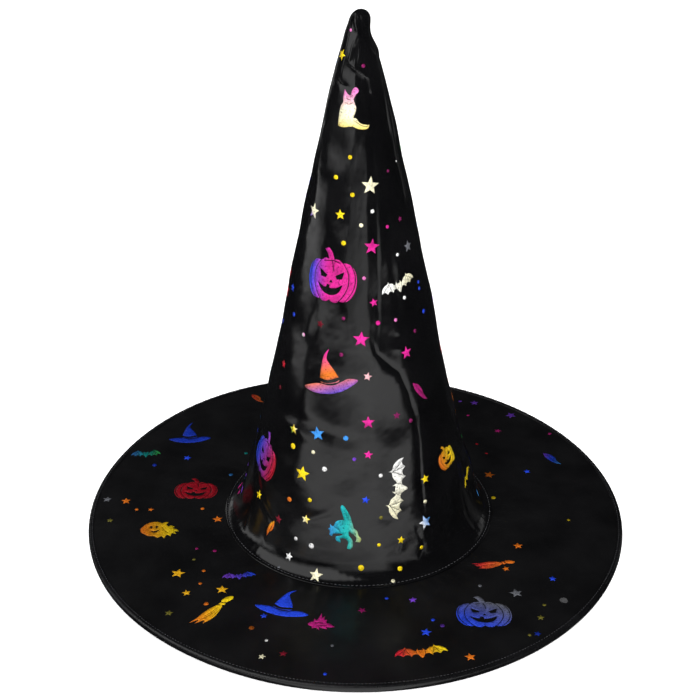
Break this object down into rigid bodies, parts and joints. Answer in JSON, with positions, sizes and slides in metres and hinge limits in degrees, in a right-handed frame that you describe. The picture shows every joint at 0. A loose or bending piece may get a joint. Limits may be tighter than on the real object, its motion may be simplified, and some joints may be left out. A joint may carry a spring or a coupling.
{
  "type": "witch hat",
  "caption": "Tall conical witch hat in shiny black foil-printed satin, with a flared stitched crown base and a wide flat brim with a bound edge",
  "frame": {"origin": "the middle of the hat on the plane the brim's edge rests on", "axes": "+Z from the brim to the tip; -Y is the front of the hat; the crown's upright seam is to the right of the front, toward +X"},
  "size_m": [0.38, 0.38, 0.362],
  "materials": {
    "satin_crown": "glossy black satin with a coloured foil print",
    "satin_brim": "glossy black satin with a coloured foil print",
    "satin_underside": "plain black satin",
    "binding_tape": "folded black satin tape",
    "interlining": "black stiff non-woven",
    "felt_board": "black pressed felt",
    "seam_tape": "black cotton tape",
    "ribbon": "black ribbed ribbon",
    "thread": "black polyester thread"
  },
  "bodies": {
    "root": {"crown_cover": "satin_crown", "crown_interlining": "interlining", "crown_seam_tape": "seam_tape", "crown_seam_thread": "thread", "crown_base_stitching": "thread", "brim_top_cover": "satin_brim", "brim_stiffener": "felt_board", "brim_under_cover": "satin_underside", "brim_edge_binding": "binding_tape", "brim_edge_stitching": "thread", "sweatband": "ribbon", "sweatband_stitching": "thread"}
  },
  "joints": []
}
